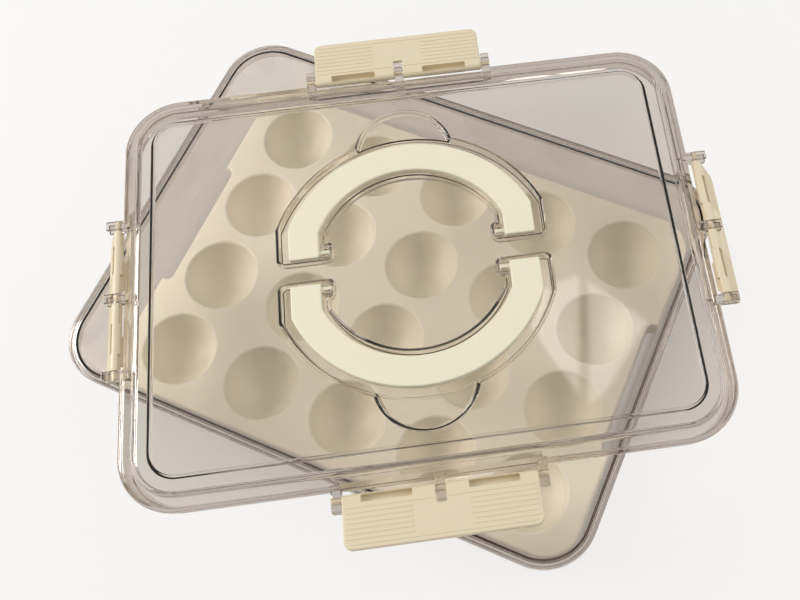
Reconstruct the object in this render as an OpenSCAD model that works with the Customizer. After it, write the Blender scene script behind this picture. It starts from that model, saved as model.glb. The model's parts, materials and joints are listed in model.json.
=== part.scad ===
// Clear egg storage container: a bin with a lift-out tray of egg seats, and a
// lid with two folding handles and four snap latches. The lid lies askew on
// the open bin, with its left end propped on the latch that hangs from it.
// Millimetres, +Z up, origin at the centre of the bin's underside.

/* [Bin] */
// Length of the bin over its rim, along X
bin_l = 281; // [270:1:320]
// Width of the bin over its rim, along Y
bin_w = 210; // [205:1:240]
// Height of the bin
bin_h = 60; // [56:1:80]
// Outer radius of the rim's corners
corner_r = 26; // [24:1:34]
// Thickness of the bin's walls
wall = 1.8; // [1.4:0.1:2.2]
// Thickness of the bin's floor
bin_floor = 2; // [1.5:0.1:3]
// How far each wall leans in from the rim to the floor
bin_draft = 3; // [1:0.5:5]
// Outer radius where the walls meet the floor
foot_r = 6; // [3:0.5:9]

/* [Bin rim] */
// Thickness of the rim's flat top
rim_t = 2; // [1.5:0.1:3]
// Thickness of the lip that turns down from the rim
rim_lip = 1.4; // [1:0.1:2]
// Space between the wall and the lip
rim_gap = 1.2; // [0.8:0.1:2]
// Height of the lip
rim_drop = 8; // [6:0.5:9]
// Width and depth of the step in the rim's inner edge
rim_step = 1.2; // [0.6:0.1:1.4]

/* [Egg tray] */
// Seats along X
seats_x = 5; // [3:1:5]
// Seats along Y
seats_y = 4; // [2:1:4]
// Distance between seats along X
pitch_x = 51; // [46:0.5:51.5]
// Distance between seats along Y
pitch_y = 46.5; // [45:0.5:47.5]
// Inner radius of a seat's bowl
seat_r = 19.5; // [17:0.5:20]
// Thickness of the tray
tray_t = 1.6; // [1.2:0.1:2]
// Depth of the tray's top below the rim
tray_drop = 37; // [34:0.5:38]
// Clearance between the tray's edge and the bin's wall
tray_gap = 1.2; // [0.6:0.1:2]
// Height of the tray's edge
tray_edge = 14; // [8:1:16]
// Length of the finger recess in each short side
notch_l = 80; // [50:1:100]
// Depth of the finger recess
notch_d = 5.5; // [3:0.5:6]

/* [Lid] */
// How far the lid's edge stands out past the bin's rim
lid_over = 0.5; // [0:0.1:2]
// Height of the lid
lid_h = 15; // [14:0.5:20]
// Thickness of the lid
lid_t = 1.8; // [1.4:0.1:2.2]
// Width of the lip round the lid's lower edge
lip_w = 1.5; // [1:0.1:2.5]
// Height of that lip
lip_h = 2.2; // [1.5:0.1:3.5]
// Height of the shoulder
shoulder_z = 11.2; // [10.8:0.1:12]
// Distance from the lid's edge to the raised band
band_in = 5.6; // [5:0.1:8]
// Distance from the lid's edge to the sunken panel
panel_in = 14.3; // [12:0.1:16]
// Depth of the panel below the raised band
panel_drop = 2; // [1:0.1:3]
// Radius on the lid's outer edges
edge_r = 1.2; // [0.6:0.1:1.5]

/* [Lid pose] */
// How far the bin's corner stands out past the hinge on the lid's right side
corner_out = 3.2; // [3:0.1:3.5]
// Offset of the lid's middle along its short side
lid_side = -1.37; // [-3:0.01:0]
// Turn of the lid on the bin, degrees
lid_turn = 30.2; // [29:0.1:31]

/* [Handles] */
// Outer radius of a handle's arc
handle_r = 61; // [56:0.5:64]
// Width of the handle, measured along the radius
handle_w = 16.5; // [12:0.5:18]
// Thickness of the handle
handle_t = 5; // [4:0.1:5.5]
// Distance of each arc's centre from the lid's middle
handle_c = 3.5; // [2:0.5:5]
// Distance of each handle's hinge from the lid's middle
handle_y = 9.5; // [9:0.5:12]
// Radius of the handle's pins
handle_pin_r = 1.6; // [1.2:0.1:1.8]
// How far a handle stands up from the panel
handle_proud = 0.7; // [0.3:0.1:1.5]
// Room round the outside of a handle in its pocket
pocket_room = 5; // [4.5:0.5:6]
// Room inside a handle's arc
inner_room = 4; // [3:0.5:5]
// Room under a handle
under_room = 0.5; // [0.3:0.1:1]
// Half the width of the finger scoop
scoop_r = 23.7; // [18:0.1:26]
// Depth of the finger scoop
scoop_d = 3; // [2:0.1:3.5]
// Distance of the scoop's centre from the pocket's edge
scoop_back = 4; // [3:0.5:6]

/* [Latches] */
// Length of a latch from its hinge to its free edge
latch_l = 22.5; // [21.5:0.5:26]
// Thickness of a latch's plate
latch_t = 1.8; // [1.4:0.1:2]
// Height of the rim round a latch's plate
latch_rim = 3.2; // [2.6:0.1:3.4]
// Thickness of that rim
latch_wall = 1.4; // [1:0.1:2]
// Radius of the free corners
latch_corner = 4; // [2:0.5:4.5]
// Spacing of the hinge lugs on the long sides
lug_pitch_long = 46.5; // [40:0.5:50]
// Spacing of the hinge lugs on the short sides
lug_pitch_short = 39; // [34:0.5:42]
// Distance of the hinge from the lid's edge
hinge_out = 5; // [4.6:0.1:6]
// Height of the hinge above the lid's lower edge
hinge_z = 8; // [7.6:0.1:8]
// Radius of the hinge rod
rod_r = 1.5; // [1.2:0.1:1.7]
// Radius of a lug's rounded end
lug_r = 3.2; // [3:0.1:3.3]
// Width of a lug
lug_w = 4; // [3:0.5:5]
// Distance from the middle lug to each slot over the hinge
inner_arm = 10.2; // [8:0.1:11]
// Distance from each slot to the latch's end
outer_arm = 8.4; // [7:0.1:10]
// Width of the slots, measured across the hinge
slot_w = 3.5; // [2.8:0.1:3.6]
// Height cut from the barrel's underside between the slots and the lugs
relief = 1.7; // [1:0.1:2]
// Catch of a hook under the rim's lip
catch = 1.1; // [0.7:0.1:1.3]
// Number of rows of grip ribs
ribs = 8; // [4:1:8]
// Distance between the rows
rib_pitch = 2.3; // [1.6:0.1:2.3]
// Half the width of the smooth field between the ribs
field_w = 13; // [9:0.5:15]

/* [Latch angles] */
// Rise of the front latch above level, degrees
front_angle = 6; // [2:1:20]
// Rise of the back latch above level, degrees
back_angle = 1; // [0:1:20]
// Droop of the left latch, which stands on the rim
left_droop = 64; // [62:1:68]
// Droop of the right latch, which hangs against the bin
right_droop = 63; // [56:1:63]

/* [Hidden] */

CLEAR = [0.86, 0.88, 0.88, 0.45];
CREAM = [0.93, 0.90, 0.80];
TRAY = [0.93, 0.91, 0.85];

seat_gap = 0.1;
run_gap = 0.05;
side_gap = 0.5;
over = 1;
least_r = 0.5;

// Rim and walls of the bin: widths measured inwards from the rim's edge
rim_w = rim_lip + rim_gap + wall;
function bin_in(z) = rim_w + bin_draft * (bin_h - z) / bin_h;

// Tray
tray_z = bin_h - tray_drop;
tray_in = bin_in(tray_z) + tray_gap;
tray_lean = bin_draft / bin_h * tray_edge;
bowl_z = bin_floor + seat_r + tray_t;
edge_chamfer = 1;
plate_in = 2;
edge_in = 3;

// Lid
lid_l = bin_l + 2 * lid_over;
lid_w = bin_w + 2 * lid_over;
lid_r = corner_r + lid_over;
skirt_r = lid_r - lip_w;
band_r = lid_r - band_in;
panel_r = lid_r - panel_in;
panel_z = lid_h - panel_drop;

// Handles and their pockets
handle_z = panel_z + handle_proud - handle_t / 2;
pocket_z = handle_z - handle_t / 2 - under_room;
pocket_out = handle_r + pocket_room;
pocket_inner = handle_r - handle_w - inner_room;
end_room = 1;
pocket_end = handle_y - handle_t / 2 - end_room;
scoop_y = handle_c + sqrt(pow(pocket_out, 2) - pow(scoop_r, 2)) - scoop_back;
knuckle_wall = 1.3;
knuckle_w = 3.6;
knuckle_step = 0.2;
knuckle_sink = 0.8;
slot_part = 0.8;
knuckle_r = handle_pin_r + knuckle_wall;
knuckle_x = sqrt(pow(pocket_inner, 2) - pow(handle_y - handle_c, 2)) - knuckle_sink;
pin_gap = 0.3;
pin_start = pocket_inner + pin_gap;
pin_sink = 2;

// Latches
barrel_wall = 0.9;
barrel_r = rod_r + barrel_wall;
plate_top = barrel_r;
rim_low = plate_top - latch_rim;
hook_y = hinge_z + rim_drop + seat_gap;
hook_low = hinge_out + lid_over + catch;
hook_t = 2.5;
hook_tip = 0.9;
hook_slope = 2;
slot_back = 1.4;
rib_t = 0.3;
rib_w = 0.9;
rib_end = 1.2;
rib_start = 4;
lug_step = 0.3;
lug_room = 3.9;
throat = 1.7 * rod_r;

// The hanging left latch sets how far the lid's left end is propped up
latch_drop = latch_l * sin(left_droop) + max(0, -rim_low) * cos(left_droop) + 3 * seat_gap;
lid_tilt = asin((latch_drop - hinge_z - seat_gap) / (lid_l + hinge_out));
lid_z = bin_h + seat_gap + sin(lid_tilt) * lid_l / 2;

// The right latch hangs against the bin's corner, which sets how far the lid lies along its length
corner_reach = (bin_l / 2 - corner_r) * cos(lid_turn) + (bin_w / 2 - corner_r) * sin(lid_turn) + corner_r;
hinge_reach = (lid_l / 2 + hinge_out) * cos(lid_tilt) + hinge_z * sin(lid_tilt);
lid_along = corner_reach - corner_out - hinge_reach;

// A profile swept round a rounded rectangle; x = 0 is the corner's centre
module around(l, w, r) {
    for (k = [0 : 3]) {
        a = (k % 2 == 0 ? l : w) / 2 - r;
        b = (k % 2 == 0 ? w : l) / 2 - r;
        rotate(90 * k) translate([a, b, 0]) {
            rotate_extrude(angle = 90, $fn = 96) children();
            rotate([90, 0, 0]) linear_extrude(2 * b) children();
        }
    }
}

module rounded(l, w, r) {
    square([l - 2 * r, w], center = true);
    square([l, w - 2 * r], center = true);
    for (x = [-1, 1], y = [-1, 1])
        translate([x * (l / 2 - r), y * (w / 2 - r)]) circle(r, $fn = 96);
}

// Points of an arc about c, from angle a to angle b
function arc(c, r, a, b, n = 5) =
    [for (i = [0 : n]) c + r * [cos(a + (b - a) * i / n), sin(a + (b - a) * i / n)]];

// Puts what is drawn in the lid's own frame where the lid lies on the bin
module on_bin() {
    rotate(lid_turn) translate([lid_along, lid_side, lid_z]) rotate([0, lid_tilt, 0]) children();
}

// Bin

module bin_profile() {
    out_top = corner_r - rim_lip - rim_gap;
    lean = bin_draft / bin_h;
    out_low = out_top - bin_draft;
    in_r = max(foot_r - wall, least_r);
    polygon(concat(
        [[out_low - foot_r - over, 0]],
        arc([out_low - foot_r + lean * foot_r, foot_r], foot_r, -90, 0),
        [[out_top - lean * rim_t, bin_h - rim_t],
         [corner_r - rim_lip, bin_h - rim_t],
         [corner_r - rim_lip, bin_h - rim_drop],
         [corner_r, bin_h - rim_drop],
         [corner_r, bin_h],
         [out_top - wall + rim_step, bin_h],
         [out_top - wall + rim_step, bin_h - rim_step],
         [out_top - wall - lean * rim_step, bin_h - rim_step]],
        arc([out_low - wall - in_r + lean * (bin_floor + in_r), bin_floor + in_r], in_r, 0, -90),
        [[out_low - foot_r - over, bin_floor]]));
}

module bin() color(CLEAR) {
    around(bin_l, bin_w, corner_r) bin_profile();
    flat_in = rim_lip + rim_gap + bin_draft + foot_r + over / 2;
    linear_extrude(bin_floor) rounded(bin_l - 2 * flat_in, bin_w - 2 * flat_in, corner_r - flat_in);
}

// Egg tray

module tray_outline(inset = 0) {
    rounded(bin_l - 2 * (tray_in + inset), bin_w - 2 * (tray_in + inset), corner_r - tray_in - inset);
}

module notch(grow) {
    x0 = bin_l / 2 - tray_in;
    for (s = [-1, 1])
        polygon([[s * (x0 + over), -notch_l / 2 - grow], [s * (x0 + over), notch_l / 2 + grow],
                 [s * x0, notch_l / 2 + grow], [s * (x0 - notch_d - grow), notch_l / 2 - notch_d],
                 [s * (x0 - notch_d - grow), notch_d - notch_l / 2], [s * x0, -notch_l / 2 - grow]]);
}

module tray_profile() {
    r = corner_r - tray_in;
    polygon(concat(
        [[r - edge_in, tray_z - tray_t], [r - edge_in, tray_z]],
        arc([r - edge_r, tray_z - edge_r], edge_r, 90, 0),
        [[r - tray_lean, tray_z - tray_edge],
         [r - tray_lean - tray_t, tray_z - tray_edge],
         [r - tray_t, tray_z - tray_t]]));
}

module seat_places() {
    for (i = [0 : seats_x - 1], j = [0 : seats_y - 1])
        translate([(i - (seats_x - 1) / 2) * pitch_x, (j - (seats_y - 1) / 2) * pitch_y, 0]) children();
}

module bowl_outside() {
    intersection() {
        translate([0, 0, bowl_z]) sphere(seat_r + tray_t, $fn = 64);
        translate([0, 0, bin_floor]) cylinder(h = tray_z - bin_floor, r = seat_r + 2 * tray_t, $fn = 64);
    }
}

module bowl_inside() {
    translate([0, 0, bowl_z]) sphere(seat_r, $fn = 64);
    translate([0, 0, tray_z - edge_chamfer])
        cylinder(h = 2 * edge_chamfer, r1 = seat_r - edge_chamfer / 4, r2 = seat_r + 2 * edge_chamfer,
                 $fn = 64);
}

module egg_tray() color(TRAY) {
    difference() {
        union() {
            difference() {
                union() {
                    around(bin_l - 2 * tray_in, bin_w - 2 * tray_in, corner_r - tray_in) tray_profile();
                    translate([0, 0, tray_z - tray_t]) linear_extrude(tray_t) tray_outline(plate_in);
                }
                translate([0, 0, -over]) linear_extrude(bin_h) notch(0);
            }
            translate([0, 0, tray_z - tray_edge]) linear_extrude(tray_edge)
                intersection() {
                    tray_outline(tray_lean + tray_t / 2);
                    difference() {
                        notch(tray_t);
                        notch(0);
                    }
                }
            seat_places() bowl_outside();
        }
        seat_places() bowl_inside();
    }
}

// Lid

module lid_profile() {
    polygon(concat(
        [[panel_r - over, panel_z - lid_t], [panel_r - over, panel_z], [panel_r, panel_z]],
        [[panel_r, lid_h]],
        arc([band_r - edge_r, lid_h - edge_r], edge_r, 90, 0),
        [[band_r, shoulder_z]],
        arc([skirt_r - edge_r, shoulder_z - edge_r], edge_r, 90, 0),
        [[skirt_r, lip_h], [lid_r, lip_h], [lid_r, 0], [skirt_r - lid_t, 0],
         [skirt_r - lid_t, shoulder_z - lid_t], [band_r - lid_t, shoulder_z - lid_t],
         [band_r - lid_t, lid_h - lid_t], [panel_r + lid_t, lid_h - lid_t],
         [panel_r + lid_t, panel_z - lid_t]]));
}

// Half ring round a handle, grown by g; it lies on the back half of the lid
module pocket(g) {
    intersection() {
        translate([0, handle_c]) difference() {
            circle(pocket_out + g, $fn = 128);
            circle(pocket_inner - g, $fn = 128);
        }
        translate([-2 * pocket_out, pocket_end - g]) square([4 * pocket_out, 2 * pocket_out]);
    }
}

// Half moon beyond the middle of the pocket, for a fingertip
module scoop(g) {
    difference() {
        translate([0, scoop_y]) circle(scoop_r + g, $fn = 96);
        translate([0, handle_c]) circle(pocket_out - 2 * lid_t, $fn = 128);
    }
}

module lug_profile() {
    difference() {
        union() {
            circle(lug_r, $fn = 48);
            translate([-hinge_out - lip_w - lid_t / 2, -lug_r + lug_step])
                square([hinge_out + lip_w + lid_t / 2, 2 * (lug_r - lug_step)]);
        }
        circle(rod_r + run_gap, $fn = 48);
        translate([0, -throat / 2]) square([2 * lug_r, throat]);
    }
}

// Three lugs in a row along the local X axis, which is the hinge's axis
module lugs(pitch) {
    for (x = [-pitch, 0, pitch])
        translate([x - lug_w / 2, 0, 0]) rotate([90, 0, 90]) linear_extrude(lug_w) lug_profile();
}

module knuckle() {
    translate([knuckle_x, handle_y, handle_z]) rotate([90, 0, 90]) linear_extrude(knuckle_w) difference() {
        union() {
            circle(knuckle_r, $fn = 48);
            translate([-knuckle_r + knuckle_step, pocket_z - handle_z - lid_t / 2])
                square([2 * (knuckle_r - knuckle_step), handle_z - pocket_z + lid_t / 2]);
        }
        circle(handle_pin_r + run_gap, $fn = 48);
        translate([-handle_pin_r * slot_part, 0]) square([2 * handle_pin_r * slot_part, 2 * knuckle_r]);
    }
}

module lid() color(CLEAR) on_bin() {
    difference() {
        union() {
            around(lid_l, lid_w, lid_r) lid_profile();
            translate([0, 0, panel_z - lid_t]) linear_extrude(lid_t)
                rounded(lid_l - 2 * panel_in + over, lid_w - 2 * panel_in + over, panel_r + over / 2);
            for (turn = [0, 180]) rotate(turn) {
                translate([0, 0, pocket_z - lid_t]) linear_extrude(panel_z - pocket_z + lid_t) pocket(lid_t);
                translate([0, 0, panel_z - scoop_d - lid_t]) linear_extrude(scoop_d + lid_t) scoop(lid_t);
            }
        }
        for (turn = [0, 180]) rotate(turn) {
            translate([0, 0, pocket_z]) linear_extrude(lid_h) pocket(0);
            translate([0, 0, panel_z - scoop_d]) linear_extrude(lid_h) scoop(0);
        }
    }
    for (turn = [0, 180], side = [0, 1]) rotate(turn) mirror([side, 0, 0]) knuckle();
    for (turn = [0, 180]) rotate(turn) {
        translate([0, lid_w / 2 + hinge_out, hinge_z]) lugs(lug_pitch_long);
        rotate(-90) translate([0, lid_l / 2 + hinge_out, hinge_z]) lugs(lug_pitch_short);
    }
}

// Handles: half rings whose ends turn on pins in the lid's knuckles

module handle() {
    end_in = sqrt(pow(handle_r - handle_w, 2) - pow(handle_y - handle_c, 2));
    end_out = sqrt(pow(handle_r, 2) - pow(handle_y - handle_c, 2));
    translate([0, 0, handle_z]) {
        linear_extrude(handle_t, center = true) intersection() {
            translate([0, handle_c]) difference() {
                circle(handle_r, $fn = 128);
                circle(handle_r - handle_w, $fn = 128);
            }
            translate([-2 * handle_r, handle_y]) square([4 * handle_r, 2 * handle_r]);
        }
        for (side = [0, 1]) mirror([side, 0, 0]) {
            translate([end_in, handle_y, 0]) rotate([0, 90, 0])
                cylinder(h = end_out - end_in, r = handle_t / 2, $fn = 64);
            translate([pin_start, handle_y, 0]) rotate([0, 90, 0])
                cylinder(h = end_in + pin_sink - pin_start, r = handle_pin_r, $fn = 48);
        }
    }
}

module handle_back() color(CREAM) on_bin() handle();
module handle_front() color(CREAM) on_bin() rotate(180) handle();

// Latches: drawn level, hinge along X, free edge towards +Y, outer face up

module latch_outline(half, inset) {
    r = latch_corner - inset;
    translate([-half + inset, 0]) square([2 * (half - inset), latch_l - latch_corner]);
    translate([-half + latch_corner, 0]) square([2 * (half - latch_corner), latch_l - inset]);
    for (x = [-1, 1]) translate([x * (half - latch_corner), latch_l - latch_corner]) circle(r, $fn = 64);
}

// The first and last rows run right across, and the others leave the middle smooth
module grip(half, row) {
    y = rib_start + rib_pitch * row;
    reach = half - rib_end - max(0, y - (latch_l - latch_corner));
    plain = row == 0 || row == ribs - 1 ? 0 : field_w;
    for (side = [-1, 1])
        translate([side * (plain + reach) / 2, y, plate_top])
            cube([reach - plain, rib_w, 2 * rib_t], center = true);
}

module hook(width) {
    rotate([90, 0, 90]) linear_extrude(width, center = true)
        polygon([[hook_y, plate_top - latch_t / 2], [hook_y, -hook_low], [hook_y + hook_tip, -hook_low],
                 [hook_y + hook_t, hook_slope - hook_low], [hook_y + hook_t, plate_top - latch_t / 2]]);
}

module latch(pitch) {
    half = pitch - lug_w / 2 - side_gap;
    notch_w = lug_w + 2 * side_gap;
    slot_in = notch_w / 2 + inner_arm;
    slot_l = half - outer_arm - slot_in;
    slot_x = slot_in + slot_l / 2;
    deep = barrel_r + over;
    difference() {
        union() {
            translate([0, 0, plate_top - latch_t]) linear_extrude(latch_t) latch_outline(half, 0);
            translate([0, 0, rim_low]) linear_extrude(latch_rim - latch_t / 2) difference() {
                latch_outline(half, 0);
                latch_outline(half, latch_wall);
            }
            rotate([0, 90, 0]) cylinder(h = 2 * half, r = barrel_r, center = true, $fn = 64);
            for (row = [0 : ribs - 1]) grip(half, row);
            for (side = [-1, 1]) translate([side * slot_x, 0, 0]) hook(slot_l);
        }
        for (side = [-1, 1]) {
            translate([side * slot_x - slot_l / 2, -slot_back, 0]) cube([slot_l, slot_w, deep]);
            translate([side * (notch_w + inner_arm) / 2, -deep / 2, -deep + (relief + over) / 2])
                cube([inner_arm + over, deep, relief + over], center = true);
            translate([side * (half - outer_arm / 2 + over / 2), -deep / 2, -deep + (relief + over) / 2])
                cube([outer_arm + over, deep, relief + over], center = true);
        }
        translate([0, (lug_room - over) / 2, 0])
            cube([notch_w, 2 * lug_r + lug_room + over, 2 * deep], center = true);
    }
    rotate([0, 90, 0]) cylinder(h = notch_w + 2 * over, r = rod_r, center = true, $fn = 48);
    for (side = [-1, 1]) translate([side * (half - over), 0, 0]) rotate([0, 90 * side, 0])
        cylinder(h = pitch + lug_w / 2 - half + over, r = rod_r, $fn = 48);
}

// Carries a latch to the side of the lid that faces the given direction
module at_hinge(direction, reach, rise) {
    on_bin() rotate(direction - 90)
        translate([0, reach / 2 + hinge_out, hinge_z]) rotate([rise, 0, 0]) children();
}

module latch_front() color(CREAM) at_hinge(-90, lid_w, front_angle) latch(lug_pitch_long);
module latch_back() color(CREAM) at_hinge(90, lid_w, back_angle) latch(lug_pitch_long);
module latch_left() color(CREAM) at_hinge(180, lid_l, -left_droop) latch(lug_pitch_short);
module latch_right() color(CREAM) at_hinge(0, lid_l, -right_droop) latch(lug_pitch_short);

bin();
egg_tray();
lid();
latch_front();
latch_back();
latch_left();
latch_right();
handle_front();
handle_back();
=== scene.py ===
"""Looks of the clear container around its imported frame. Metres, +Z up, origin under the middle of the bin.

Shapes are built in millimetres, each in its own frame, and then placed by the frame's joints.
"""
import json
import math

import bmesh
import bpy
from mathutils import Matrix, Vector


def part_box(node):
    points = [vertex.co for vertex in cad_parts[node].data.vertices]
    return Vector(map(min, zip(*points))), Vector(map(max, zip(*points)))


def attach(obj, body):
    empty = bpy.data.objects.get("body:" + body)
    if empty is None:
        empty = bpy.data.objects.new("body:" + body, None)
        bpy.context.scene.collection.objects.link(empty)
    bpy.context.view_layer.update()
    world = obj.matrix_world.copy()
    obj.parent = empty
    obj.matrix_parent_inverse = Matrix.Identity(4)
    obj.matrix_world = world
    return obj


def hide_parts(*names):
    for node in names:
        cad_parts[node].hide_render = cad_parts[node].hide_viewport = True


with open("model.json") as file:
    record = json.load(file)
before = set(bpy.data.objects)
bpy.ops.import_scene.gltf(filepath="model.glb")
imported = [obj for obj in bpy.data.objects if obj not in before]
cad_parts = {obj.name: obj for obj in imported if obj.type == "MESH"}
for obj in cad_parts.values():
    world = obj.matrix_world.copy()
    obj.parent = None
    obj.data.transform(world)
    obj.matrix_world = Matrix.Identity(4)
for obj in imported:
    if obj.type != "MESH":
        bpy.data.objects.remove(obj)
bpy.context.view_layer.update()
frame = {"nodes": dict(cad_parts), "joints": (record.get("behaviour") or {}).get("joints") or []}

MM = 0.001

# Camera

IMAGE_W = 800
IMAGE_H = 600
SENSOR = 36.0
FOCAL_PX = 888.17
CENTRE_PX = (520, 300)
AZIMUTH = 29.762
ELEVATION = 69.166
ROLL = -7.743
DISTANCE = 441.63 * MM
AIM = Vector((65.59 * MM, 11.64 * MM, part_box("bin")[1].z))


def make_camera():
    az = math.radians(AZIMUTH)
    el = math.radians(ELEVATION)
    roll = math.radians(ROLL)
    forward = Vector((-math.sin(az) * math.cos(el), math.cos(az) * math.cos(el), -math.sin(el)))
    level = Vector((math.cos(az), math.sin(az), 0))
    upright = level.cross(forward)
    right = level * math.cos(roll) + upright * math.sin(roll)
    up = upright * math.cos(roll) - level * math.sin(roll)
    data = bpy.data.cameras.new("camera")
    data.sensor_width = SENSOR
    data.lens = FOCAL_PX / IMAGE_W * SENSOR
    data.shift_x = (IMAGE_W / 2 - CENTRE_PX[0]) / IMAGE_W
    data.shift_y = (CENTRE_PX[1] - IMAGE_H / 2) / IMAGE_W
    data.clip_start = 0.01
    camera = bpy.data.objects.new("camera", data)
    turn = Matrix((right, up, -forward)).transposed()
    camera.matrix_world = Matrix.Translation(AIM - forward * DISTANCE) @ turn.to_4x4()
    bpy.context.scene.collection.objects.link(camera)
    bpy.context.scene.camera = camera


# Materials


def new_material(name):
    """A material with an empty tree, and its nodes, links and output."""
    mat = bpy.data.materials.new(name)
    mat.use_nodes = True
    nodes = mat.node_tree.nodes
    nodes.clear()
    out = nodes.new("ShaderNodeOutputMaterial")
    return mat, nodes, mat.node_tree.links, out


def noise(nodes, links, scale, detail=2.0, where="Object"):
    coord = nodes.new("ShaderNodeTexCoord")
    tex = nodes.new("ShaderNodeTexNoise")
    tex.inputs["Scale"].default_value = scale
    tex.inputs["Detail"].default_value = detail
    links.new(coord.outputs[where], tex.inputs["Vector"])
    return tex.outputs["Fac"]


def remap(nodes, links, value, low, high):
    m = nodes.new("ShaderNodeMapRange")
    m.inputs["To Min"].default_value = low
    m.inputs["To Max"].default_value = high
    links.new(value, m.inputs["Value"])
    return m.outputs["Result"]


def bump(nodes, links, height, strength, distance):
    b = nodes.new("ShaderNodeBump")
    b.inputs["Strength"].default_value = strength
    b.inputs["Distance"].default_value = distance
    links.new(height, b.inputs["Height"])
    return b.outputs["Normal"]


def shade_between(nodes, links, value, dark, light):
    mix = nodes.new("ShaderNodeMix")
    mix.data_type = "RGBA"
    mix.inputs["A"].default_value = (*dark, 1)
    mix.inputs["B"].default_value = (*light, 1)
    links.new(value, mix.inputs["Factor"])
    return mix.outputs["Result"]


def clear_plastic(name, tint):
    """Clear moulded plastic: it bends light, and lets the lamps' light through to what is behind it.

    Light takes on colour along its way inside, so thick edges look darker and browner than thin walls.
    """
    mat, nodes, links, out = new_material(name)
    body = nodes.new("ShaderNodeBsdfPrincipled")
    body.inputs["Base Color"].default_value = (*tint, 1)
    body.inputs["IOR"].default_value = 1.5
    body.inputs["Transmission Weight"].default_value = 1.0
    wear = noise(nodes, links, 90, 6)
    links.new(remap(nodes, links, wear, 0.0, 0.02), body.inputs["Roughness"])
    waves = noise(nodes, links, 12, 1)
    links.new(bump(nodes, links, waves, 0.003, 0.002), body.inputs["Normal"])
    passed = nodes.new("ShaderNodeBsdfTransparent")
    passed.inputs["Color"].default_value = (*(math.sqrt(c) for c in tint), 1)
    inside = nodes.new("ShaderNodeVolumeAbsorption")
    inside.inputs["Color"].default_value = (0.60, 0.46, 0.38, 1)
    inside.inputs["Density"].default_value = 42
    links.new(inside.outputs["Volume"], out.inputs["Volume"])
    path = nodes.new("ShaderNodeLightPath")
    mix = nodes.new("ShaderNodeMixShader")
    links.new(path.outputs["Is Shadow Ray"], mix.inputs["Fac"])
    links.new(body.outputs["BSDF"], mix.inputs[1])
    links.new(passed.outputs["BSDF"], mix.inputs[2])
    links.new(mix.outputs["Shader"], out.inputs["Surface"])
    return mat


def moulded_plastic(name, dark, light, rough, grain, grain_scale):
    mat, nodes, links, out = new_material(name)
    body = nodes.new("ShaderNodeBsdfPrincipled")
    mottle = noise(nodes, links, 45, 5)
    links.new(shade_between(nodes, links, mottle, dark, light), body.inputs["Base Color"])
    wear = noise(nodes, links, 260, 6)
    links.new(remap(nodes, links, wear, rough - 0.06, rough + 0.08), body.inputs["Roughness"])
    fine = noise(nodes, links, grain_scale, 3)
    links.new(bump(nodes, links, fine, grain, 0.0004), body.inputs["Normal"])
    body.inputs["Subsurface Weight"].default_value = 0.08
    body.inputs["Subsurface Radius"].default_value = (0.003, 0.0022, 0.0015)
    links.new(body.outputs["BSDF"], out.inputs["Surface"])
    return mat


def floor_material():
    """Pale floor: nearly white where the camera, metal or glass shows it, and it keeps the shadow."""
    mat, nodes, links, out = new_material("floor")
    body = nodes.new("ShaderNodeBsdfDiffuse")
    body.inputs["Color"].default_value = (0.70, 0.66, 0.615, 1)
    glow = nodes.new("ShaderNodeEmission")
    glow.inputs["Color"].default_value = (1, 1, 1, 1)
    glow.inputs["Strength"].default_value = 1.0
    path = nodes.new("ShaderNodeLightPath")
    share = None
    for kind, weight in (("Is Camera Ray", 0.75), ("Is Glossy Ray", 0.15), ("Is Transmission Ray", 0.06)):
        weighted = nodes.new("ShaderNodeMath")
        weighted.operation = "MULTIPLY_ADD"
        weighted.inputs[1].default_value = weight
        weighted.inputs[2].default_value = 0
        links.new(path.outputs[kind], weighted.inputs[0])
        if share:
            links.new(share, weighted.inputs[2])
        share = weighted.outputs[0]
    mix = nodes.new("ShaderNodeMixShader")
    links.new(share, mix.inputs["Fac"])
    links.new(body.outputs["BSDF"], mix.inputs[1])
    links.new(glow.outputs["Emission"], mix.inputs[2])
    links.new(mix.outputs["Shader"], out.inputs["Surface"])
    return mat


CLEAR_LID = clear_plastic("clear_lid", (0.87, 0.85, 0.825))
# The bin's plastic is a darker copy of the lid's clear plastic. Its stronger tint is partly the plastic's own tint and
# partly painted shade, for the dimmer light inside the bin where it stands on the floor.
CLEAR_BIN_SHADED = clear_plastic("clear_bin_painted_shade", (0.84, 0.815, 0.79))
CREAM = moulded_plastic("cream_plastic", (0.80, 0.745, 0.585), (0.83, 0.775, 0.62), 0.38, 0.12, 1800)
TRAY = moulded_plastic("tray_plastic", (0.86, 0.80, 0.665), (0.89, 0.835, 0.705), 0.42, 0.04, 1500)
# The latches' plastic is a darker, khaki copy of the cream plastic: painted shade, standing in for the shade the
# latches lie in.
LATCH_CREAM_SHADED = moulded_plastic("latch_plastic_painted_shade", (0.715, 0.615, 0.43), (0.75, 0.655, 0.47), 0.36, 0.12, 1800)

# Sizes in millimetres, as in the part

CORNER_R = 26
WALL = 1.8
FLOOR_T = 2
DRAFT = 3
FOOT_R = 6
RIM_T = 2
RIM_LIP = 1.4
RIM_GAP = 1.2
RIM_DROP = 8
RIM_STEP = 1.2

SEATS = (5, 4)
PITCH = (51, 46.5)
SEAT_R = 19.5
TRAY_T = 1.6
TRAY_DROP = 37
TRAY_GAP = 1.2
TRAY_EDGE = 14
NOTCH_L = 80
NOTCH_D = 5.5

LID_OVER = 0.5
LID_H = 15
LID_T = 1.8
LIP_W = 1.5
LIP_H = 2.2
SHOULDER_Z = 11.2
BAND_IN = 5.6
PANEL_IN = 14.9
STEP_LEAN = 0.9
FLARE = 3.1
SHELL_SHIFT = (-0.7, 0.5, 0)
PANEL_Z = 13
HINGE_OUT = 5
HINGE_Z = 8

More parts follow.
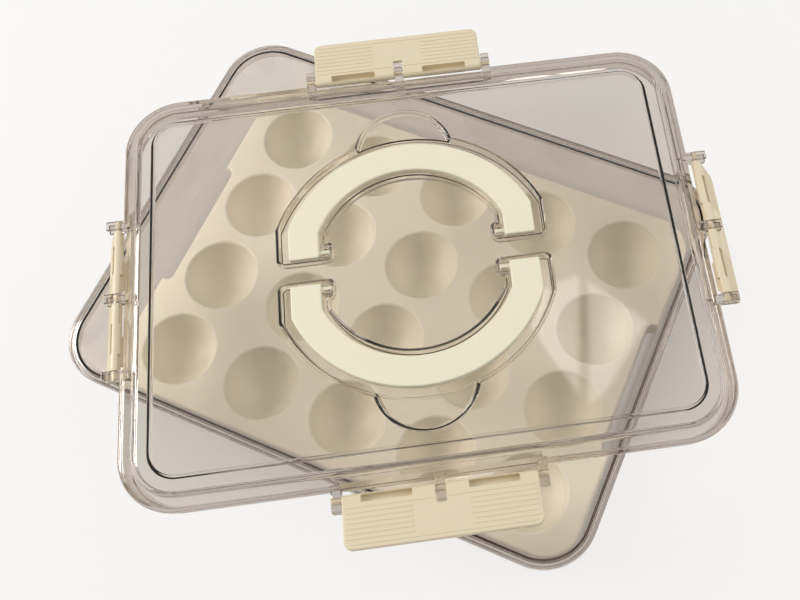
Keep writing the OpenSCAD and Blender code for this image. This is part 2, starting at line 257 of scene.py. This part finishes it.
HANDLE_R = 65
HANDLE_W = 14.8
HANDLE_LEG = 60.3
HANDLE_T = 5
HANDLE_C = -1
HANDLE_Y = 9.5
HANDLE_END = 2.6
HANDLE_SHIFT = (-1.4, 0, 0)
PIN_R = 1.6
HANDLE_Z = PANEL_Z + 0.7 - HANDLE_T / 2
POCKET_Z = HANDLE_Z - HANDLE_T / 2 - 0.5
POCKET_GAP = 4.5
POCKET_GAP_IN = 2.2
POCKET_OUT = HANDLE_R + POCKET_GAP
POCKET_IN = HANDLE_R - HANDLE_W - POCKET_GAP_IN
POCKET_END = HANDLE_Y - HANDLE_T / 2 - 1
WALL_LEAN = 0.4
SCOOP_R = 23.7
SCOOP_D = 3
SCOOP_Y = HANDLE_C + math.sqrt(POCKET_OUT ** 2 - SCOOP_R ** 2) - 4
KNUCKLE_R = PIN_R + 1.6
KNUCKLE_W = 4
KNUCKLE_X = HANDLE_LEG - HANDLE_W - 0.6 - KNUCKLE_W

LATCH_L = 22.5
LATCH_T = 1.8
LATCH_RIM = 3.2
LATCH_WALL = 1.4
LATCH_CORNER = 4
ROD_R = 1.5
BARREL_R = 2.4
LUG_R = 3.2
LUG_W = 4
LUG_SHOWN_W = 4.4
LUG_NOSE = 5.4
SIDE_GAP = 0.5
LUG_PITCH = {"latch_front": 46.5, "latch_back": 46.5, "latch_left": 39, "latch_right": 39}
LATCH_RISE = {"latch_front": 6, "latch_back": 1, "latch_left": -64, "latch_right": -63}

# Shapes


def arc(centre, radius, start, end, steps):
    """Points of an arc, with its angles in degrees."""
    turns = (math.radians(start + (end - start) * i / steps) for i in range(steps + 1))
    return [(centre[0] + radius * math.cos(t), centre[1] + radius * math.sin(t)) for t in turns]


def softened(corners, steps=6):
    """An open line through corners given as x, y and radius, with each corner rounded."""
    points = []
    for i, (x, y, r) in enumerate(corners):
        here = Vector((x, y))
        if r == 0:
            points.append((x, y))
            continue
        back = Vector(corners[i - 1][:2]) - here
        on = Vector(corners[i + 1][:2]) - here
        half = back.angle(on) / 2
        reach = min(r / math.tan(half), 0.48 * back.length, 0.48 * on.length)
        radius = reach * math.tan(half)
        centre = here + (back.normalized() + on.normalized()).normalized() * (radius / math.sin(half))
        first = here + back.normalized() * reach - centre
        last = here + on.normalized() * reach - centre
        a = math.degrees(math.atan2(first.y, first.x))
        b = math.degrees(math.atan2(last.y, last.x))
        b += 360 if b - a < -180 else -360 if b - a > 180 else 0
        points += arc(centre, radius, a, b, steps)
    return points


def shape(verts, faces):
    """An object in millimetres, with its faces turned outwards."""
    mesh = bpy.data.meshes.new("shape")
    mesh.from_pydata(verts, [], faces)
    bm = bmesh.new()
    bm.from_mesh(mesh)
    bmesh.ops.recalc_face_normals(bm, faces=bm.faces)
    bm.to_mesh(mesh)
    bm.free()
    obj = bpy.data.objects.new("shape", mesh)
    bpy.context.scene.collection.objects.link(obj)
    return obj


def stacked(rings):
    """A closed solid through rings of equally many points."""
    n = len(rings[0])
    verts = [p for ring in rings for p in ring]
    faces = [list(range(n)), list(range(len(verts) - n, len(verts)))]
    for k in range(len(rings) - 1):
        for i in range(n):
            j = (i + 1) % n
            faces.append((k * n + i, k * n + j, k * n + n + j, k * n + n + i))
    return shape(verts, faces)


def swept(profile, length, width, corner, steps=24):
    """A profile carried round a rounded rectangle. Its x is measured from the corner's centre."""
    stations = []
    for k, (sx, sy) in enumerate(((1, 1), (-1, 1), (-1, -1), (1, -1))):
        cx = sx * (length / 2 - corner)
        cy = sy * (width / 2 - corner)
        stations += [(cx, cy, *d) for d in arc((0, 0), 1, 90 * k, 90 * k + 90, steps)]
    return stacked([[(cx + dx * x, cy + dy * x, z) for cx, cy, dx, dy in stations] for x, z in profile])


def lofted(outline, levels):
    """A solid whose outline grows by the first number of each level at the height of the second."""
    return stacked([[(x, y, z) for x, y in outline(grow)] for grow, z in levels])


def levels(low, high, low_r, high_r, flare=False, steps=4):
    """Levels of a wall with a rounded foot and a rounded or flared top."""
    turns = [math.pi / 2 * i / steps for i in range(steps + 1)]
    foot = [(-low_r * (1 - math.cos(t)), low + low_r * (1 - math.sin(t))) for t in reversed(turns)]
    sign = 1 if flare else -1
    top = [(sign * high_r * (1 - math.cos(t)), high - high_r * (1 - math.sin(t))) for t in turns]
    return foot + top + ([(high_r, high + 1)] if flare else [])


def rectangle(x0, x1, y0, y1, r, steps=4):
    def outline(g):
        q = r + g
        corners = ((x1 - r, y1 - r, 0), (x0 + r, y1 - r, 90), (x0 + r, y0 + r, 180), (x1 - r, y0 + r, 270))
        return [p for cx, cy, a in corners for p in arc((cx, cy), q, a, a + 90, steps)]
    return outline


def half_ring(out, inner, leg_out, leg_in, end, r, steps=56):
    """Outline of half a ring about (0, HANDLE_C) on two straight legs, with rounded corners at y = end."""
    def outline(g):
        a = math.degrees(math.acos((leg_out + g) / (out + g)))
        b = math.degrees(math.acos((leg_in - g) / (inner - g)))
        around = [(*point, 0) for point in arc((0, HANDLE_C), out + g, a, 180 - a, steps)]
        within = [(*point, 0) for point in arc((0, HANDLE_C), inner - g, 180 - b, b, steps)]
        low = end - g
        middle = ((leg_out + leg_in) / 2, low, 0)
        return softened([middle, (leg_out + g, low, r + g), *around, (-leg_out - g, low, r + g),
                         (-leg_in + g, low, r + g), *within, (leg_in - g, low, r + g), middle])[:-1]
    return outline


def half_moon(g, steps=32):
    """Outline of a finger scoop beyond the pocket's outer edge."""
    r = SCOOP_R + g
    inside = POCKET_OUT - 2 * LID_T
    gap = SCOOP_Y - HANDLE_C
    y = (inside ** 2 - r ** 2 + gap ** 2) / (2 * gap)
    x = math.sqrt(inside ** 2 - y ** 2)
    a = math.degrees(math.atan2(y - gap, x))
    b = math.degrees(math.atan2(y, x))
    return arc((0, SCOOP_Y), r, a, 180 - a, steps) + arc((0, HANDLE_C), inside, 180 - b, b, steps)[1:-1]


def revolved(profile, steps=64):
    """A solid of revolution about Z. The profile is a list of radius and height."""
    return stacked([[(r * math.cos(t), r * math.sin(t), z)
                     for t in (2 * math.pi * i / steps for i in range(steps))] for r, z in profile])


def bar(start, end, y, z, radius, edge, steps=32):
    """A rod along X with rounded ends."""
    rod = revolved([(radius + g, h) for g, h in levels(start, end, edge, edge)], steps)
    rod.data.transform(Matrix.Translation((0, y, z)) @ Matrix.Rotation(math.pi / 2, 4, "Y"))
    return rod


def hooked(r, bore, slot, neck, reach, nose):
    """Outline of an eye about (0, 0), open at x = nose, on a neck that reaches to x = -reach."""
    root = 180 - math.degrees(math.asin(neck / r))
    mouth = math.degrees(math.asin(slot / bore))
    lower = [(nose, -slot)] + arc((nose - 0.6, 0.6 - r), 0.6, 0, -90, 3) + arc((0, 0), r, -90, -root, 12)
    return lower + [(-reach, -neck), (-reach, neck)] + [(x, -y) for x, y in reversed(lower)] \
        + arc((0, 0), bore, mouth, 360 - mouth, 20)


def extruded(outline, width, edge):
    """A plate along X from an outline in Y and Z, with softened end edges."""
    plate = stacked([[(x, y, z) for y, z in outline] for x in (0, width)])
    bm = bmesh.new()
    bm.from_mesh(plate.data)
    rims = [e for e in bm.edges if abs(e.verts[0].co.x - e.verts[1].co.x) < 1e-6]
    bmesh.ops.bevel(bm, geom=rims, offset=edge, segments=2, profile=0.5, affect="EDGES")
    bmesh.ops.recalc_face_normals(bm, faces=bm.faces)
    bm.to_mesh(plate.data)
    bm.free()
    return plate


def moved(obj, matrix):
    obj.data.transform(matrix)
    if matrix.determinant() < 0:
        obj.data.flip_normals()
    return obj


def copies(obj, matrices):
    """Copies of an object at several places, in one mesh."""
    bm = bmesh.new()
    for matrix in matrices:
        mesh = obj.data.copy()
        mesh.transform(matrix)
        if matrix.determinant() < 0:
            mesh.flip_normals()
        bm.from_mesh(mesh)
        bpy.data.meshes.remove(mesh)
    bm.to_mesh(obj.data)
    bm.free()
    return obj


def combined(base, *steps):
    """The base after each step, which is UNION or DIFFERENCE with a list of shapes."""
    tools = []
    for operation, shapes in steps:
        for tool in shapes:
            mod = base.modifiers.new(operation.lower(), "BOOLEAN")
            mod.operation = operation
            mod.solver = "MANIFOLD"
            mod.object = tool
            tools.append(tool)
    bpy.context.view_layer.update()
    done = base.evaluated_get(bpy.context.evaluated_depsgraph_get())
    mesh = bpy.data.meshes.new_from_object(done)
    base.modifiers.clear()
    base.data = mesh
    for tool in tools:
        bpy.data.objects.remove(tool)
    bm = bmesh.new()
    bm.from_mesh(mesh)
    bmesh.ops.remove_doubles(bm, verts=bm.verts, dist=0.002)
    bm.to_mesh(mesh)
    bm.free()
    return base


def finished(obj, name, matrix, material, body=None):
    """Names a shape, puts it in its place in metres and lets it stand for its node."""
    obj.name = name
    obj.data.name = name
    obj.data.transform(matrix @ Matrix.Scale(MM, 4))
    obj.data.shade_smooth()
    obj.data.set_sharp_from_angle(angle=math.radians(38))
    obj.data.materials.clear()
    obj.data.materials.append(material)
    weighted = obj.modifiers.new("weighted", "WEIGHTED_NORMAL")
    weighted.keep_sharp = True
    weighted.weight = 90
    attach(obj, body or name.removesuffix("_shape"))
    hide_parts(name.removesuffix("_shape"))
    return obj


# Places

JOINTS = {j["name"]: j for j in frame["joints"]}


def hinge(node):
    joint = JOINTS[node + "_hinge"]
    return Vector(joint["pos_m"]), Vector(joint["axis"]).normalized()


def axes_at(origin, x, y):
    z = x.cross(y)
    return Matrix.Translation(origin) @ Matrix((x, y, z)).transposed().to_4x4()


front_at, _ = hinge("latch_front")
back_at, lid_along = hinge("latch_back")
left_at, _ = hinge("latch_left")
right_at, _ = hinge("latch_right")
lid_across = (back_at - front_at).normalized()
lid_up = lid_along.cross(lid_across)
LID_AT = axes_at((front_at + back_at) / 2 - lid_up * HINGE_Z * MM, lid_along, lid_across)
LID_W = (back_at - front_at).length / MM - 2 * HINGE_OUT
LID_L = (right_at - left_at).length / MM - 2 * HINGE_OUT
BIN_L, BIN_W, BIN_H = (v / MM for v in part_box("bin")[1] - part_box("bin")[0])
HALF_TURNS = [Matrix.Identity(4), Matrix.Rotation(math.pi, 4, "Z")]
MIRROR_X = Matrix.Scale(-1, 4, (1, 0, 0))
SIDEWAYS = Matrix.Translation(HANDLE_SHIFT)

# Bin


def make_bin():
    lean = DRAFT / BIN_H
    out_top = CORNER_R - RIM_LIP - RIM_GAP
    out_low = out_top - DRAFT
    in_r = FOOT_R - WALL
    start = out_low - FOOT_R - 1
    step_x = out_top - WALL + RIM_STEP
    profile = softened([
        (start, FLOOR_T, 0),
        (out_low - WALL + lean * FLOOR_T, FLOOR_T, in_r),
        (out_top - WALL - lean * RIM_STEP, BIN_H - RIM_STEP, 0.4),
        (step_x, BIN_H - RIM_STEP, 0.4),
        (step_x, BIN_H, 0.5),
        (CORNER_R, BIN_H, 0.9),
        (CORNER_R, BIN_H - RIM_DROP, 0.5),
        (CORNER_R - RIM_LIP, BIN_H - RIM_DROP, 0.5),
        (CORNER_R - RIM_LIP, BIN_H - RIM_T, 0.5),
        (out_top - lean * RIM_T, BIN_H - RIM_T, 0.5),
        (out_low, 0, FOOT_R),
        (start, 0, 0)])
    finished(swept(profile, BIN_L, BIN_W, CORNER_R), "bin_shape", Matrix.Identity(4), CLEAR_BIN_SHADED)


# Egg tray


def make_tray():
    top = BIN_H - TRAY_DROP
    inset = RIM_LIP + RIM_GAP + WALL + DRAFT * TRAY_DROP / BIN_H + TRAY_GAP
    r = CORNER_R - inset
    low = top - TRAY_EDGE
    lean = DRAFT / BIN_H * TRAY_EDGE
    profile = softened([
        (r - 5, top, 0), (r, top, 1.8), (r - lean, low, 0.5), (r - lean - TRAY_T, low, 0.5),
        (r - TRAY_T, top - TRAY_T, 0.8), (r - 5, top - TRAY_T, 0)])
    plate = swept(profile, BIN_L - 2 * inset, BIN_W - 2 * inset, r)
    edge_x = BIN_L / 2 - inset
    recess = rectangle(edge_x - NOTCH_D, edge_x + 6, -NOTCH_L / 2 + 3, NOTCH_L / 2 - 3, 4)
    sides = [Matrix.Identity(4), Matrix.Rotation(math.pi, 4, "Z")]
    liner = rectangle(edge_x - NOTCH_D - TRAY_T, edge_x - lean - 0.4, -NOTCH_L / 2 + 1.4, NOTCH_L / 2 - 1.4, 1)
    liners = copies(lofted(liner, levels(low, top - 0.5, 0.4, 0.2)), sides)
    recesses = copies(lofted(recess, [(0, low - 1)] + levels(low, top, 0, 1.2, flare=True)[5:]), sides)
    centre_z = FLOOR_T + SEAT_R + TRAY_T
    rim = 1.6
    turn = math.degrees(math.asin((top - rim - centre_z) / SEAT_R))
    inner = arc((0, centre_z), SEAT_R, -89.9, turn, 18)
    lip_x, lip_z = inner[-1]
    inner += [(lip_x + g, z) for g, z in levels(lip_z, top, 0, rim, flare=True)[5:]]
    outer = arc((0, centre_z), SEAT_R + TRAY_T, -89.9, -4, 16)
    places = [Matrix.Translation(((i - (SEATS[0] - 1) / 2) * PITCH[0], (j - (SEATS[1] - 1) / 2) * PITCH[1], 0))
              for i in range(SEATS[0]) for j in range(SEATS[1])]
    bowls = copies(revolved(outer), places)
    seats = copies(revolved(inner), places)
    tray = combined(plate, ("UNION", [liners]), ("DIFFERENCE", [recesses]), ("UNION", [bowls]),
                    ("DIFFERENCE", [seats]))
    finished(tray, "egg_tray_shape", Matrix.Identity(4), TRAY)


# Lid


def lid_shell():
    edge = CORNER_R + LID_OVER
    skirt = edge - LIP_W + FLARE
    foot = edge - LIP_W - LID_T
    band = edge - BAND_IN
    panel = edge - PANEL_IN
    under = PANEL_Z - LID_T
    profile = softened([
        (panel - 3, PANEL_Z, 0), (panel, PANEL_Z, 0.5), (panel, LID_H, 0.7), (band, LID_H, 1.5),
        (band, SHOULDER_Z, 0.9), (skirt, SHOULDER_Z, 1.5), (edge, LIP_H, 0.6),
        (edge, 0, 0.5), (foot, 0, 0.4), (skirt - LID_T, SHOULDER_Z - LID_T, 0.7),
        (band - LID_T, SHOULDER_Z - LID_T, 0.6), (band - LID_T, LID_H - LID_T, 0.7),
        (panel + LID_T, LID_H - LID_T, 0.3), (panel + STEP_LEAN, under, 0.3), (panel - 3, under, 0)])
    return moved(swept(profile, LID_L, LID_W, edge), Matrix.Translation(SHELL_SHIFT))


def hinge_sides():
    """For each side of the lid, the way to the latch's axis, and the pitch of its lugs."""
    for turn, size, pitch in ((0, LID_W, 46.5), (90, LID_L, 39), (180, LID_W, 46.5), (270, LID_L, 39)):
        at = Matrix.Rotation(math.radians(turn), 4, "Z") @ Matrix.Translation((0, size / 2 + HINGE_OUT, HINGE_Z))
        yield at, pitch


def hinge_rooms():
    """Solid backs behind the latches, and the slanted room in which the latches swing over the lid."""
    back_in = HINGE_OUT + LIP_W + 2 * LID_T
    back = [(-back_in, -1.5), (-back_in, 3), (-HINGE_OUT + 0.8, 3), (-HINGE_OUT + 0.8, -1.5)]
    turn = math.radians(136)
    face = BARREL_R + 0.35
    along = Vector((math.cos(turn), math.sin(turn)))
    foot = Vector((-math.sin(turn), math.cos(turn))) * face
    low = foot - along * 3
    high = foot + along * 14
    room = [tuple(low), (low.x + 3, low.y), (low.x + 3, high.y), tuple(high)]
    backs = []
    rooms = []
    for at, pitch in hinge_sides():
        half = pitch - LUG_W / 2 - SIDE_GAP + 0.5
        backs.append(moved(extruded(back, 2 * half + 4, 0.4), at @ Matrix.Translation((-half - 2, 0, 0))))
        rooms.append(moved(extruded(room, 2 * half, 0.6), at @ Matrix.Translation((-half, 0, 0))))
    return backs, rooms


def lugs():
    reach = HINGE_OUT + LIP_W + LID_T / 2
    shapes = []
    for at, pitch in hinge_sides():
        eye = extruded(hooked(LUG_R, ROD_R + 0.05, 0.85 * ROD_R, LUG_R - 0.3, reach, LUG_NOSE), LUG_SHOWN_W, 0.4)
        shapes.append(copies(eye, [at @ Matrix.Translation((x - LUG_SHOWN_W / 2, 0, 0)) for x in (-pitch, 0, pitch)]))
    return shapes


def knuckles():
    foot = HANDLE_Z - POCKET_Z + LID_T / 2
    eye = extruded(hooked(KNUCKLE_R, PIN_R + 0.05, 0.8 * PIN_R, KNUCKLE_R - 0.2, foot, KNUCKLE_R - 0.5), KNUCKLE_W, 0.3)
    stand = Matrix.Translation((KNUCKLE_X, HANDLE_Y, HANDLE_Z)) @ Matrix.Rotation(math.pi / 2, 4, "X")
    return copies(eye, [turn @ side @ stand for turn in HALF_TURNS for side in (Matrix.Identity(4), MIRROR_X)])


def make_lid():
    leg_in = HANDLE_LEG - HANDLE_W
    pocket = half_ring(POCKET_OUT, POCKET_IN, HANDLE_LEG + POCKET_GAP, leg_in - POCKET_GAP_IN, POCKET_END, 2)
    nook = rectangle(KNUCKLE_X - 0.6, leg_in, POCKET_END, HANDLE_Y + KNUCKLE_R + 0.8, 2)
    corners = [turn @ side for turn in HALF_TURNS for side in (Matrix.Identity(4), MIRROR_X)]
    nooks = copies(lofted(nook, levels(POCKET_Z, PANEL_Z, 1.2, 0.7, flare=True)), corners)
    hollow = copies(lofted(pocket, levels(POCKET_Z, PANEL_Z, 1.2, 0.7, flare=True)), HALF_TURNS)
    scoop_z = PANEL_Z - SCOOP_D
    dip = copies(lofted(half_moon, levels(scoop_z, PANEL_Z, 1.6, 1.4, flare=True)), HALF_TURNS)
    under = PANEL_Z - LID_T / 2
    outside = [(WALL_LEAN, POCKET_Z - LID_T), (LID_T, under - 1), (LID_T, under)]
    bulge = copies(lofted(pocket, outside), HALF_TURNS)
    nook_bulge = copies(lofted(nook, outside), corners)
    outside = [(WALL_LEAN, scoop_z - LID_T), (LID_T, under - 0.5), (LID_T, under)]
    dip_bulge = copies(lofted(half_moon, outside), HALF_TURNS)
    backs, rooms = hinge_rooms()
    middle = (bulge, nook_bulge, dip_bulge, hollow, nooks, dip)
    bulge, nook_bulge, dip_bulge, hollow, nooks, dip = (moved(part, SIDEWAYS) for part in middle)
    lid = combined(lid_shell(), ("UNION", [*backs, bulge, nook_bulge, dip_bulge]),
                   ("DIFFERENCE", [*rooms, hollow, nooks, dip]), ("UNION", [moved(knuckles(), SIDEWAYS), *lugs()]))
    finished(lid, "lid_shape", LID_AT, CLEAR_LID)


# Handles


def make_handles():
    leg_in = HANDLE_LEG - HANDLE_W
    low = HANDLE_Z - HANDLE_T / 2
    turn_r = HANDLE_END - 0.05
    foot = [(-HANDLE_END - 1, -HANDLE_T), (0, -HANDLE_T), *arc((0, 0), turn_r, 270, 180, 12), (-HANDLE_END - 1, 0)]
    for name, turn in zip(("handle_back", "handle_front"), HALF_TURNS):
        outline = half_ring(HANDLE_R, HANDLE_R - HANDLE_W, HANDLE_LEG, leg_in, HANDLE_Y - HANDLE_END, 1)
        ring = lofted(outline, levels(low, low + HANDLE_T, 0.8, 0.8))
        under = moved(extruded(foot, 2 * HANDLE_R, 0.3), Matrix.Translation((-HANDLE_R, HANDLE_Y, HANDLE_Z)))
        pins = [moved(bar(KNUCKLE_X - 0.3, leg_in + 2, HANDLE_Y, HANDLE_Z, PIN_R, 0.3), side)
                for side in (Matrix.Identity(4), MIRROR_X)]
        handle = combined(ring, ("DIFFERENCE", [under]), ("UNION", pins))
        finished(moved(handle, SIDEWAYS @ turn), name + "_shape", LID_AT, CREAM)


# Latches


def latch_outline(half, steps=8):
    def outline(g):
        r = LATCH_CORNER + g
        y = LATCH_L - LATCH_CORNER
        x = half - LATCH_CORNER
        return [(-half - g, 0), (half + g, 0)] + arc((x, y), r, 0, 90, steps) + arc((-x, y), r, 90, 180, steps)
    return outline


def rib(x0, x1, y):
    """A low rounded ridge along X on a latch's face."""
    return lofted(rectangle(x0, x1, y - 0.55, y + 0.55, 0.5), levels(BARREL_R - 0.4, BARREL_R + 0.3, 0, 0.28, steps=2))


def latch_ribs(half):
    shapes = []
    rows = 8
    for row in range(rows):
        y = 4 + 2.3 * row
        reach = half - 1.2 - max(0, y - (LATCH_L - LATCH_CORNER))
        if row in (0, rows - 1):
            shapes.append(rib(-reach, reach, y))
        else:
            shapes += [rib(13, reach, y), rib(-reach, -13, y)]
    return shapes


def latch_hook(x, width):
    y = HINGE_Z + RIM_DROP + 0.1
    low = -(HINGE_OUT + LID_OVER + 1.1)
    top = BARREL_R - LATCH_T / 2
    outline = softened([(y, top, 0), (y, low, 0.3), (y + 0.9, low, 0.4), (y + 2.5, low + 2, 0.8), (y + 2.5, top, 0)])
    return moved(extruded(outline, width, 0.3), Matrix.Translation((x - width / 2, 0, 0)))


def make_latch(name):
    pitch = LUG_PITCH[name]
    half = pitch - LUG_W / 2 - SIDE_GAP
    notch = LUG_W / 2 + SIDE_GAP
    slot_in = notch + 10.2
    slot_l = half - 8.4 - slot_in
    slot_x = slot_in + slot_l / 2
    rim_low = BARREL_R - LATCH_RIM
    plate = lofted(latch_outline(half), levels(rim_low, BARREL_R, 0.3, 0.7))
    inside = lofted(lambda g: latch_outline(half)(g - LATCH_WALL), levels(rim_low - 1, BARREL_R - LATCH_T, 0, 0.6))
    barrel = bar(-half, half, 0, 0, BARREL_R, 0.5, 48)
    hooks = [latch_hook(s * slot_x, slot_l) for s in (-1, 1)]
    cuts = [lofted(rectangle(-notch, notch, -5, LUG_R + 3.9, 0.6), [(0, -8), (0, 8)])]
    for s in (-1, 1):
        ends = sorted((s * slot_in, s * (slot_in + slot_l)))
        cuts.append(lofted(rectangle(*ends, -1.4, 2.1, 0.4), levels(-1.2, BARREL_R + 1, 0.3, 0)))
        for a, b in ((0, slot_in), (slot_in + slot_l, half + 1)):
            ends = sorted((s * a, s * b))
            cuts.append(lofted(rectangle(*ends, -6, 0, 0.2), [(0, -6), (0, BARREL_R - 3.1)]))
    rods = [bar(-notch - 1, notch + 1, 0, 0, ROD_R, 0.1)]
    for s in (-1, 1):
        ends = sorted((s * (half - 1), s * (pitch + LUG_W / 2)))
        rods.append(bar(*ends, 0, 0, ROD_R, 0.3))
    latch = combined(plate, ("DIFFERENCE", [inside]), ("UNION", [barrel, *hooks, *latch_ribs(half)]),
                     ("DIFFERENCE", cuts), ("UNION", rods))
    origin, axis = hinge(name)
    at = axes_at(origin, axis, lid_up.cross(axis)) @ Matrix.Rotation(math.radians(LATCH_RISE[name]), 4, "X")
    finished(latch, name + "_shape", at, LATCH_CREAM_SHADED)


# Floor, lamps and world


def make_floor():
    size = 6.0
    mesh = bpy.data.meshes.new("floor")
    h = size / 2
    mesh.from_pydata([(-h, -h, 0), (h, -h, 0), (h, h, 0), (-h, h, 0)], [], [(0, 1, 2, 3)])
    floor = bpy.data.objects.new("floor", mesh)
    mesh.materials.append(floor_material())
    bpy.context.scene.collection.objects.link(floor)


def make_lamp(name, place, size, power):
    data = bpy.data.lights.new(name, "AREA")
    data.shape = "RECTANGLE"
    data.size = size[0]
    data.size_y = size[1]
    data.energy = power
    lamp = bpy.data.objects.new(name, data)
    lamp.location = place
    lamp.rotation_euler = (Vector(place) - Vector((0, 0, 0.05))).to_track_quat("Z", "Y").to_euler()
    bpy.context.scene.collection.objects.link(lamp)


WINDOW = (((-0.118, 0.374), (-0.059, 0.436), (-0.004, 0.295), (-0.061, 0.33)),
          ((-0.045, 0.433), (0.04, 0.412), (0.024, 0.31), (0.011, 0.289)))
WINDOW_LIGHT = 3
AMBIENT = (0.62, 0.62, 0.61)


def pane(nodes, links, sky, corners):
    """One inside a pane of the window, with corners in clockwise order on a plane overhead."""
    inside = None
    for (x0, y0), (x1, y1) in zip(corners, corners[1:] + corners[:1]):
        across = Vector((y1 - y0, x0 - x1)).normalized() * 120
        edge = nodes.new("ShaderNodeVectorMath")
        edge.operation = "DOT_PRODUCT"
        edge.inputs[1].default_value = (across.x, across.y, 0.5 - across.x * x0 - across.y * y0)
        links.new(sky, edge.inputs[0])
        part = nodes.new("ShaderNodeMath")
        part.operation = "MULTIPLY"
        part.use_clamp = True
        part.inputs[1].default_value = 1
        links.new(edge.outputs["Value"], part.inputs[0])
        if inside:
            both = nodes.new("ShaderNodeMath")
            both.operation = "MULTIPLY"
            links.new(inside, both.inputs[0])
            links.new(part.outputs[0], both.inputs[1])
            inside = both.outputs[0]
        else:
            inside = part.outputs[0]
    return inside


def blend(nodes, links, share, base, other):
    """A colour of the base, or of the other where the share is one. Each is a socket or plain values."""
    mix = nodes.new("ShaderNodeMix")
    mix.data_type = "RGBA"
    for name, value in (("A", base), ("B", other)):
        if isinstance(value, tuple):
            mix.inputs[name].default_value = (*value, 1)
        else:
            links.new(value, mix.inputs[name])
    links.new(share, mix.inputs["Factor"])
    return mix.outputs["Result"]


def make_world():
    """A pale room. Glass and gloss see dim walls above the horizon, a bright ceiling and a window."""
    world = bpy.data.worlds.new("studio")
    world.use_nodes = True
    nodes = world.node_tree.nodes
    links = world.node_tree.links
    path = nodes.new("ShaderNodeLightPath")
    coord = nodes.new("ShaderNodeTexCoord")
    split = nodes.new("ShaderNodeSeparateXYZ")
    links.new(coord.outputs["Generated"], split.inputs["Vector"])
    ramp = nodes.new("ShaderNodeValToRGB")
    stops = ramp.color_ramp.elements
    stops[0].position = 0.06
    stops[0].color = (1, 1, 1, 1)
    stops[1].position = 0.12
    stops[1].color = (0.035, 0.028, 0.025, 1)
    for position, color in ((0.58, (0.06, 0.048, 0.042, 1)), (0.82, (0.80, 0.79, 0.77, 1))):
        stop = stops.new(position)
        stop.color = color
    links.new(split.outputs["Z"], ramp.inputs["Fac"])
    through = nodes.new("ShaderNodeMapRange")
    through.inputs["To Min"].default_value = 0.3
    links.new(path.outputs["Is Transmission Ray"], through.inputs["Value"])
    room = blend(nodes, links, through.outputs["Result"], AMBIENT, ramp.outputs["Color"])
    sky = nodes.new("ShaderNodeVectorMath")
    sky.operation = "DIVIDE"
    links.new(coord.outputs["Generated"], sky.inputs[0])
    links.new(split.outputs["Z"], sky.inputs[1])
    for corners in WINDOW:
        inside = pane(nodes, links, sky.outputs["Vector"], corners)
        room = blend(nodes, links, inside, room, (WINDOW_LIGHT, WINDOW_LIGHT, WINDOW_LIGHT))
    room = blend(nodes, links, path.outputs["Is Diffuse Ray"], room, AMBIENT)
    room = blend(nodes, links, path.outputs["Is Camera Ray"], room, (1, 1, 1))
    links.new(room, nodes["Background"].inputs["Color"])
    bpy.context.scene.world = world


make_camera()
make_bin()
make_tray()
make_lid()
make_handles()
for latch_name in LUG_PITCH:
    make_latch(latch_name)
make_floor()
make_world()
make_lamp("key", (-1.0, -0.3, 0.75), (0.6, 0.6), 9)
make_lamp("fill", (0.9, 0.7, 0.7), (0.8, 0.6), 5)
SLOT_LOOKS = {"clear": CLEAR_BIN_SHADED, "cream": CREAM, "tray": TRAY}
for node_name, cad in frame["nodes"].items():
    slot = {"bin": "clear", "lid": "clear", "egg_tray": "tray"}.get(node_name, "cream")
    cad.data.materials.clear()
    cad.data.materials.append(SLOT_LOOKS[slot])
bpy.context.scene.view_settings.view_transform = "Standard"
